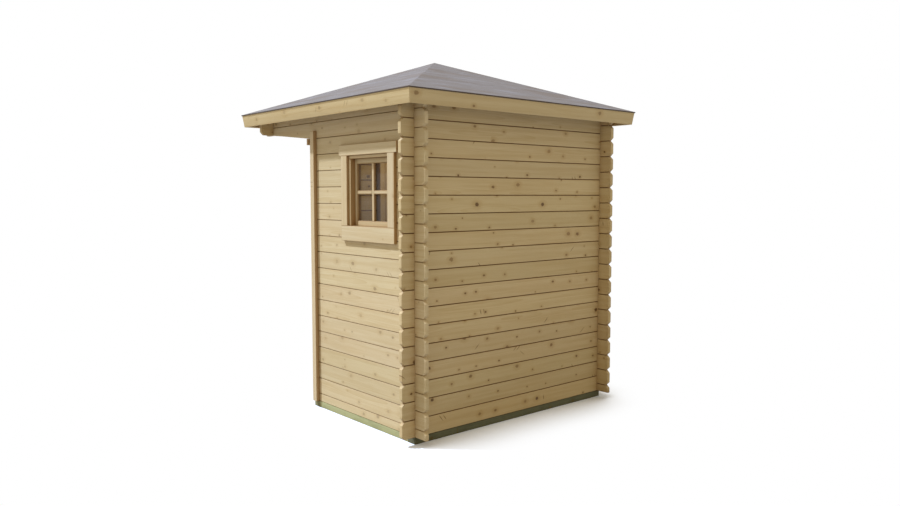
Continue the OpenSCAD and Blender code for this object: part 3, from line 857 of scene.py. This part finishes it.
class SHED_OT_door(bpy.types.Operator):
    """Build the door: its frame, stops, boards, ledges, hinges and handle"""

    bl_idname = "shed.build_door"
    bl_label = "Door"

    def execute(self, context):
        d = context.scene.shed_door
        s = seeds("door", 40)
        low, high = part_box("door_frame")
        head = high.z - d.post
        x0, x1 = low.x + d.post, high.x - d.post
        make("door_surround", "door_frame", "planed_spruce", [
            *pair("door_frame", "y", d.post, s[:2], BOARD_EASE),
            slab(rect(x0, head, x1, high.z), "y", low.y, high.y, s[2], BOARD_EASE),
            slab(rect(x0, low.z, x1, low.z + d.threshold), "y", low.y, high.y, s[3], BEAM_EASE)])
        make("stops", "door_stops", "planed_spruce", pair("door_stops", "y", d.stop, s[4:6], BEAM_EASE))
        low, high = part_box("door_boards")
        xs = np.linspace(low.x, high.x, d.boards + 1)
        make("door_planks", "door_boards", "planed_spruce", [
            slab(rect(x0, low.z, x1, high.z), "y", low.y, high.y, s[6 + i], (0.001, d.joint, 0.001, d.joint),
                 grain="v", rounded=False)
            for i, (x0, x1) in enumerate(zip(xs[:-1], xs[1:]))])

        low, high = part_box("door_ledges")
        mid = (low.z + high.z - d.ledge) / 2
        levels = (low.z, mid, high.z - d.ledge)
        parts = [slab(rect(low.x, z, high.x, z + d.ledge), "y", low.y, high.y, s[16 + i], 0.004)
                 for i, z in enumerate(levels)]
        foot, top = low.x + d.ledge / 4, high.x - d.ledge / 4
        for i, (z0, z1) in enumerate(((levels[0] + d.ledge, levels[1]), (levels[1] + d.ledge, levels[2]))):
            shape = [(foot, z0), (foot + d.ledge, z0), (top, z1), (top - d.ledge, z1)]
            parts.append(slab(shape, "y", low.y, high.y, s[20 + i], 0.004, grain="v"))
        make("door_ledges_and_braces", "door_ledges", "planed_spruce", parts)
        self.hardware(d, levels)
        return {"FINISHED"}

    def hardware(self, d, levels):
        """Tapered strap hinges with knuckles and screws, and a lever on a rounded plate."""
        seed = np.zeros(3)
        low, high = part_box("door_hinges")
        face, pin_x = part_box("door_boards")[0].y, low.x + 0.006
        # Half the strap's width, and how thick the strap and the plate beside it are
        half, strap_t, plate_t = 0.018, 0.004, 0.003
        parts = []
        for z in (levels[0] + d.ledge / 2, levels[2] + d.ledge / 2):
            a = np.linspace(-math.pi / 2, math.pi / 2, 9)
            tip = np.stack([high.x - 0.012 + 0.012 * np.cos(a), z + 0.012 * np.sin(a)], 1)
            strap = np.concatenate([[(pin_x, z + half), (pin_x, z - half), (pin_x + 0.05, z - half)], tip,
                                    [(pin_x + 0.05, z + half)]])
            parts.append(slab(strap, "y", face - strap_t, face, seed, 0.0008, rim=0.002))
            plate = rect(pin_x - 0.034, z - half, pin_x - 0.002, z + half)
            parts.append(slab(plate, "y", face - plate_t, face, seed, 0.0008, rim=0.002))
            for k in range(3):
                z0, z1 = -half + half * 2 / 3 * k, -half + half * 2 / 3 * (k + 1)
                ring = [[0.0005, z0], [0.0052, z0], [0.0059, z0 + 0.0007], [0.0059, z1 - 0.0007],
                        [0.0052, z1 - 0.0001], [0.0005, z1 - 0.0001]]
                parts.append(lathe(ring, (pin_x, face, z), "z", seed, 24))
            spots = [(pin_x + x, face - strap_t, z + dz) for x, dz in
                     ((0.028, 0.009), (0.028, -0.009), (0.105, 0), (0.185, 0), (0.262, 0))]
            spots += [(pin_x - 0.018, face - plate_t, z + dz) for dz in (0.009, -0.009)]
            parts += screws(spots, "y", -0.0014, seed, d.screw)
        make("strap_hinges", "door_hinges", "zinc_steel", parts)

        low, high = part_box("door_handle")
        x, z = high.x - 0.016, (low.z + high.z) / 2
        back = high.y
        a = np.linspace(0, 2 * math.pi, 32, endpoint=False)
        corner = np.stack([np.sign(np.cos(a)) * 0.006 + 0.010 * np.cos(a),
                           np.sign(np.sin(a)) * 0.070 + 0.010 * np.sin(a)], 1) + (x, z)
        parts = [slab(corner, "y", back - 0.004, back, seed, 0.0012, rim=0.002)]
        parts.append(lathe([[0.001, 0], [0.0135, 0], [0.0135, -0.004], [0.0115, -0.006], [0.001, -0.006]],
                           (x, back - 0.004, z), "y", seed, 32))
        t = np.linspace(0, math.pi / 2, 9)
        bend = np.stack([x - 0.016 * (1 - np.cos(t)), low.y + 0.008 + 0.016 * (1 - np.sin(t)), t * 0 + z], 1)
        path = np.concatenate([[(x, back - 0.003, z), (x, back - 0.018, z)], bend,
                               [(x - 0.060, low.y + 0.008, z), (low.x + 0.004, low.y + 0.008, z),
                                (low.x + 0.0005, low.y + 0.008, z)]])
        radius = np.concatenate([[0.008, 0.008], np.full(9, 0.0078), [0.0076, 0.0074, 0.0045]])
        parts.append(tube(path, radius, (0, 0, 1), seed, 20))
        keyhole = [[0.0005, 0], [0.0052, 0], [0.0052, -0.0008],
                   [0.0034, -0.0012], [0.0032, 0.0005], [0.0005, 0.0006]]
        parts.append(lathe(keyhole, (x, back - 0.004, z - 0.045), "y", seed, 20))
        parts += screws([(x, back - 0.004, z + dz) for dz in (0.068, -0.068)], "y", -0.0012, seed, 0.0036)
        make("lever_handle", "door_handle", "zinc_steel", parts)


class SHED_OT_window(bpy.types.Operator):
    """Build the window: frame, sash with its bars, glass, casings and the board below"""

    bl_idname = "shed.build_window"
    bl_label = "Window"

    def execute(self, context):
        w = context.scene.shed_window
        s = seeds("window", 20)
        low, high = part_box("window_frame")
        y0, y1, z0, z1 = low.y, high.y, low.z, high.z
        j = w.jamb
        make("window_surround", "window_frame", "planed_spruce", [
            slab(rect(y0, z0, y1, z0 + j), "x", low.x, high.x, s[0], w.ease),
            slab(rect(y0, z1 - j, y1, z1), "x", low.x, high.x, s[1], w.ease),
            slab(rect(y0, z0 + j, y0 + j, z1 - j), "x", low.x, high.x, s[2], w.ease, grain="v"),
            slab(rect(y1 - j, z0 + j, y1, z1 - j), "x", low.x, high.x, s[3], w.ease, grain="v")])

        low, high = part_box("window_sash")
        y0, y1, z0, z1 = low.y, high.y, low.z, high.z
        st, ra, m, e = w.stile, w.rail, w.moulding, w.ease * 0.6
        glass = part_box("window_glass")[1].x
        ym, zm, hb = (y0 + y1) / 2, (z0 + z1) / 2, w.bar / 2
        parts = [
            slab(rect(y0, z0, y0 + st, z1), "x", low.x, high.x, s[4], e, (e, m, e, e), grain="v"),
            slab(rect(y1 - st, z0, y1, z1), "x", low.x, high.x, s[5], e, (e, e, e, m), grain="v"),
            slab(rect(y0 + st, z0, y1 - st, z0 + ra), "x", low.x, high.x, s[6], e, (e, TIGHT, m, TIGHT)),
            slab(rect(y0 + st, z1 - ra, y1 - st, z1), "x", low.x, high.x, s[7], e, (m, TIGHT, e, TIGHT)),
            slab(rect(ym - hb, z0 + ra, ym + hb, z1 - ra), "x", glass, high.x, s[8], TIGHT,
                 (TIGHT, m, TIGHT, m), grain="v"),
        ]
        parts += [slab(rect(a, zm - hb, b, zm + hb), "x", glass, high.x, s[9 + i], TIGHT,
                       (m, TIGHT, m, TIGHT))
                  for i, (a, b) in enumerate(((y0 + st, ym - hb), (ym + hb, y1 - st)))]
        # The sash, the casings and the lower board get painted sunlight; the frame, whose sides lie in shade,
        # gets none
        make("sash", "window_sash", "planed_spruce", parts, 1.0)
        make("pane", "window_glass", "window_glass", [fill("window_glass", "x", s[11], 0.0006, rim=0.002)])

        for name, node in (("head_casing", "window_head_casing"), ("lower_board", "window_apron")):
            low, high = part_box(node)
            seed = seeds(node, 1)[0]
            outline = rect(low.y, low.z, high.y, high.z)
            if node == "window_apron":
                # Notched behind its face for the frame, which stands out past the wall
                wlo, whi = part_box("window_frame")
                u = [(low.y, low.z), (high.y, low.z), (high.y, high.z), (whi.y, high.z), (whi.y, high.z - j),
                     (wlo.y, high.z - j), (wlo.y, high.z), (low.y, high.z)]
                parts = [slab(u, "x", low.x, whi.x + TIGHT, seed, TIGHT, rim=0.004),
                         slab(outline, "x", whi.x + TIGHT, high.x, seed, TIGHT, w.ease)]
            else:
                parts = [slab(outline, "x", low.x, high.x, seed, w.ease)]
            make(name, node, "planed_spruce", parts, 1.0)
        make("side_casings", "window_side_casings", "planed_spruce",
             pair("window_side_casings", "x", w.casing, s[14:16], w.ease), 1.0)
        return {"FINISHED"}


class SHED_OT_roof_timber(bpy.types.Operator):
    """Build the rafters, the block at the peak and the roof boards"""

    bl_idname = "shed.build_roof_timber"
    bl_label = "Roof timber"

    def execute(self, context):
        r, p = context.scene.shed_roof, Plan()
        slope = p.slope()
        pitch = math.atan(slope)
        under = lambda d: p.eave_z - (r.felt + r.board_thick) / math.cos(pitch) + (p.eave - d) * slope
        king = r.king / 2
        end = p.eave - r.lip - (r.fascia * math.sin(r.lean) + 2 * r.fascia_thick)
        drop = r.rafter / 2 * math.sqrt(0.5) * slope
        for name, node, k, lower, run, first in (
                ("middle_rafters", "common_rafters", 1, 0, end, 0),
                ("corner_rafters", "hip_rafters", math.sqrt(0.5), drop, end * math.sqrt(2) - r.rafter, 45)):
            top = lambda q: under(q * k) - lower
            seat = king + (top(king) - r.rafter_deep - p.top) / (slope * k)
            shape = [(king, top(king)), (king, top(king) - r.rafter_deep), (seat, p.top), (run, p.top),
                     (run, top(run))]
            parts = [slab(shape, "y", -r.rafter / 2, r.rafter / 2, seed, BOARD_EASE)
                     for seed in seeds(node, 4)]
            make(name, node, "roof_timber", [turned(part, first + 90 * i) for i, part in enumerate(parts)])

        low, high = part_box("king_block")
        a = np.arange(8) * math.pi / 4 + math.pi / 8
        octagon = np.stack([np.cos(a), np.sin(a)], 1) * king / math.cos(math.pi / 8)
        make("peak_block", "king_block", "roof_timber",
             [slab(octagon, "z", low.z, high.z, seeds("king", 1)[0], BEAM_EASE, grain="w")])

        # Boards that run level round the roof, mitred at the hips, with a bevelled joint below
        thick = r.board_thick / math.cos(pitch)
        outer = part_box("roof_boards_front")
        reach = -outer[0].y
        rows = math.ceil(reach / (r.board * math.cos(pitch)))
        ds = reach - np.arange(rows + 1) * r.board * math.cos(pitch)
        # The gap at the peak, the joint's bevel, and the width under which a board has none
        ds[-1], v, narrow = 0.002, 0.0028, 0.012
        for side, angle in SIDES:
            node = "roof_boards_" + side
            parts = []
            for d1, d0, seed in zip(ds[:-1], ds[1:], seeds(node, rows)):
                up = lambda d: under(d) + thick
                shape = [(d1, up(d1)), (d0, up(d0)), (d0, under(d0) + v), (d0 + v, under(d0 + v)),
                         (d1 - v, under(d1 - v)), (d1, under(d1) + v)]
                if d1 - d0 < narrow:
                    shape = [(d1, up(d1)), (d0, up(d0)), (d0, under(d0)), (d1, under(d1))]
                parts.append(turned(hip_run(shape, seed), angle))
            make("deck_" + side, node, "roof_timber", parts)
        return {"FINISHED"}


class SHED_OT_covering(bpy.types.Operator):
    """Build the four sides of roofing felt, in lapped courses with a turned-down edge"""

    bl_idname = "shed.build_covering"
    bl_label = "Roof covering"

    def execute(self, context):
        r, p = context.scene.shed_roof, Plan()
        slope = p.slope()
        pitch = math.atan(slope)
        v = r.felt / math.cos(pitch)
        top = lambda d: p.eave_z + (p.eave - d) * slope
        step = r.lap * math.cos(pitch)
        count = math.ceil(p.eave / step)
        # Upper side from the eave to the peak: each course thins by this share of the felt on its
        # way up, and the next one starts from the full thickness again
        thinning, stations = 0.18, 5
        d, z = [], []
        for i in range(count):
            d1, d0 = p.eave - i * step, max(p.eave - (i + 1) * step, 0)
            share = (d1 - d0) / step
            ds = np.linspace(d1, d0, stations)
            thin = np.linspace(0, thinning * share, stations) * v
            if i:
                ds[0] -= 0.0004
            d += ds.tolist()
            z += (top(ds) - thin).tolist()
        d[-1], z[-1] = 0.0, float(top(0))
        inner = p.eave - r.lip + 0.0008
        shape = [(inner, p.eave_z - r.drip), (p.eave - 0.0006, p.eave_z - r.drip),
                 (p.eave, p.eave_z - r.drip + 0.0008), (p.eave, p.eave_z - 0.0008)]
        shape += [(p.eave - 0.0006, p.eave_z)] + list(zip(d, z))[1:]
        shape += [(0.0, float(top(0)) - v), (inner, float(top(inner)) - v)]
        for side, angle in SIDES:
            node = "roof_covering_" + side
            part = hip_run(shape, seeds(node, 1)[0], 25)
            obj = make("felt_" + side, node, "roofing_felt", [turned(part, angle)])
            # The turned-down edge and the felt just under it are darker, partly as the edge's own colour and
            # partly as painted shade under the lip: set on the corners that lie below the eave
            mesh = obj.data
            co = np.empty(len(mesh.vertices) * 3)
            mesh.vertices.foreach_get("co", co)
            low = co.reshape(-1, 3)[:, 2] < p.eave_z - 0.0004
            mesh.attributes["edge"].data.foreach_set("value", low.astype(np.float32))
        return {"FINISHED"}


class SHED_OT_fascia(bpy.types.Operator):
    """Build the four fascia boards, leaning in at the foot and mitred"""

    bl_idname = "shed.build_fascia"
    bl_label = "Fascia"

    def execute(self, context):
        r, p = context.scene.shed_roof, Plan()
        slope = p.slope()
        pitch = math.atan(slope)
        v = r.felt / math.cos(pitch)
        board_top = lambda d: p.eave_z - v + (p.eave - d) * slope
        d0 = p.eave - r.lip
        c, s = math.cos(r.lean), math.sin(r.lean)
        dx, dz = r.fascia * s, r.fascia * c
        z0 = board_top(d0)
        t = r.fascia_thick
        e = 0.0016
        foot = (d0 - dx, z0 - dz)
        back = (d0 - dx - t * c, z0 - dz + t * s)
        shape = [(d0, z0), (foot[0] + e * s, foot[1] + e * c),
                 (foot[0] + (e * s - e * c) * 0.3, foot[1] + e * 0.35),
                 (foot[0] - e * c, foot[1] + e * s), (back[0] + e * c, back[1] - e * s),
                 (back[0] + e * s, back[1] + e * c), (d0 - t / c, board_top(d0 - t / c))]
        for side, angle in SIDES:
            node = "fascia_" + side
            part = hip_run(shape, seeds(node, 1)[0], 3)
            # Fibres run along the board: across is the distance up its face, deep the distance in
            d, z = np.asarray(shape).T
            up = (z0 - z) * c + (d0 - d) * s
            inward = (d0 - d) * c - (z0 - z) * s
            along = part["rings"][:, :, 0]
            part["grain"] = np.dstack([along, np.broadcast_to(r.fascia - up, along.shape),
                                       np.broadcast_to(inward, along.shape)])
            # Only the right fascia, the one in the sun, gets painted sunlight
            make("fascia_board_" + side, node, "fascia_spruce", [turned(part, angle)], float(side == "right"))
        return {"FINISHED"}


# The stage, in metres and degrees: the floor's half width, how far from the walls it takes a
# shadow and on which side, and where the camera stands, looks and how its lens draws
FLOOR_HALF = 60
SHADOW_REACH = 0.70
SHADOW_SIDE = (0.42, -0.42, 0.80)
CAMERA_PLACE = (3.713, 4.509, 1.522)
CAMERA_AZIMUTH, CAMERA_HEIGHT = 40.62, 4.276
CAMERA_LENS, SENSOR_WIDTH = 30.58, 36
# The sun's strength, spread in degrees, colour and direction
SUN_STRENGTH, SUN_SPREAD = 3.9, 2.5
SUN_COLOUR = (0.85, 0.99, 1.32)
SUN_FROM = (1, -0.98, 1.87)
# The lamp in the closed room
ROOM_STRENGTH, ROOM_RADIUS = 4.2, 0.18
ROOM_COLOUR = (1.0, 0.86, 0.62)
ROOM_PLACE = (0.1, 0.2, 1.75)


class SHED_OT_stage(bpy.types.Operator):
    """Set up the floor, the background, the lights and the camera"""

    bl_idname = "shed.build_stage"
    bl_label = "Stage"

    def execute(self, context):
        scene = context.scene
        mesh = bpy.data.meshes.new("floor")
        f = FLOOR_HALF
        mesh.from_pydata([(-f, -f, 0), (f, -f, 0), (f, f, 0), (-f, f, 0)], [], [(0, 1, 2, 3)])
        floor = bpy.data.objects.new("floor", mesh)
        scene.collection.objects.link(floor)
        s = Shader(bpy.data.materials.new("pale_floor"))
        # Near the walls the floor is pale and takes the shadow. Away from them it is plain white.
        near = s.node("ShaderNodeAmbientOcclusion", {"samples": 24},
                      {"Distance": SHADOW_REACH, "Normal": SHADOW_SIDE}, out="AO")
        open_ = near.ramp(0.44, 0.87)
        plain = s.node("ShaderNodeBsdfDiffuse", inputs={"Color": (0.42, 0.41, 0.39, 1)})
        pale = s.node("ShaderNodeBsdfDiffuse", inputs={"Color": (0.93, 0.96, 1.0, 1)})
        white = s.node("ShaderNodeEmission", inputs={"Color": (1, 1, 1, 1), "Strength": 1.0})
        shown = s.node("ShaderNodeMixShader", inputs={0: open_, 1: pale, 2: white})
        both = s.node("ShaderNodeMixShader", inputs={0: s.seen(), 1: plain, 2: shown})
        mesh.materials.append(s.finish(both))

        world = bpy.data.worlds.new("studio")
        scene.world = world
        w = Shader(world)
        fill = w.node("ShaderNodeBackground", inputs={"Color": (1.0, 0.92, 0.77, 1), "Strength": 0.63})
        white = w.node("ShaderNodeBackground", inputs={"Color": (1, 1, 1, 1), "Strength": 1.0})
        both = w.node("ShaderNodeMixShader", inputs={0: w.seen(), 1: fill, 2: white})
        w.finish(both, "ShaderNodeOutputWorld")

        sun = bpy.data.lights.new("key", "SUN")
        sun.energy, sun.angle, sun.color = SUN_STRENGTH, math.radians(SUN_SPREAD), SUN_COLOUR
        lamp = bpy.data.objects.new("key", sun)
        lamp.rotation_euler = Vector(SUN_FROM).to_track_quat("Z", "Y").to_euler()
        scene.collection.objects.link(lamp)

        room = bpy.data.lights.new("room", "POINT")
        room.energy, room.shadow_soft_size, room.color = ROOM_STRENGTH, ROOM_RADIUS, ROOM_COLOUR
        inner = bpy.data.objects.new("room", room)
        inner.location = ROOM_PLACE
        inner.visible_camera = inner.visible_glossy = False
        scene.collection.objects.link(inner)

        cam = bpy.data.cameras.new("camera")
        cam.lens, cam.sensor_width = CAMERA_LENS, SENSOR_WIDTH
        camera = bpy.data.objects.new("camera", cam)
        az, el = math.radians(CAMERA_AZIMUTH), math.radians(CAMERA_HEIGHT)
        forward = Vector((-math.sin(az) * math.cos(el), -math.cos(az) * math.cos(el), -math.sin(el)))
        turn = forward.to_track_quat("-Z", "Y").to_matrix().to_4x4()
        camera.matrix_world = Matrix.Translation(CAMERA_PLACE) @ turn
        scene.collection.objects.link(camera)
        scene.camera = camera
        scene.view_settings.view_transform = "Standard"
        return {"FINISHED"}


OPERATORS = (SHED_OT_foundation, SHED_OT_rear_wall, SHED_OT_side_walls, SHED_OT_front_wall, SHED_OT_door,
             SHED_OT_window, SHED_OT_roof_timber, SHED_OT_covering, SHED_OT_fascia, SHED_OT_stage)


class SHED_PT_panel(bpy.types.Panel):
    """Sizes, colours and pieces of the shed"""

    bl_idname = "SHED_PT_panel"
    bl_label = "Garden shed"
    bl_space_type = "VIEW_3D"
    bl_region_type = "UI"
    bl_category = "Shed"

    def draw(self, context):
        for operator in OPERATORS:
            self.layout.operator(operator.bl_idname)
        for name, group in GROUPS.items():
            box = self.layout.box()
            for prop in group.__annotations__:
                box.prop(getattr(context.scene, name), prop)


def register():
    for cls in (*GROUPS.values(), *OPERATORS, SHED_PT_panel):
        bpy.utils.register_class(cls)
    for name, group in GROUPS.items():
        setattr(bpy.types.Scene, name, PointerProperty(type=group))


def unregister():
    for name in GROUPS:
        delattr(bpy.types.Scene, name)
    for cls in (SHED_PT_panel, *reversed(OPERATORS), *reversed(GROUPS.values())):
        bpy.utils.unregister_class(cls)


def main():
    register()
    for operator in OPERATORS:
        group, name = operator.bl_idname.split(".")
        getattr(getattr(bpy.ops, group), name)()
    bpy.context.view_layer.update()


if __name__ == "__main__":
    main()
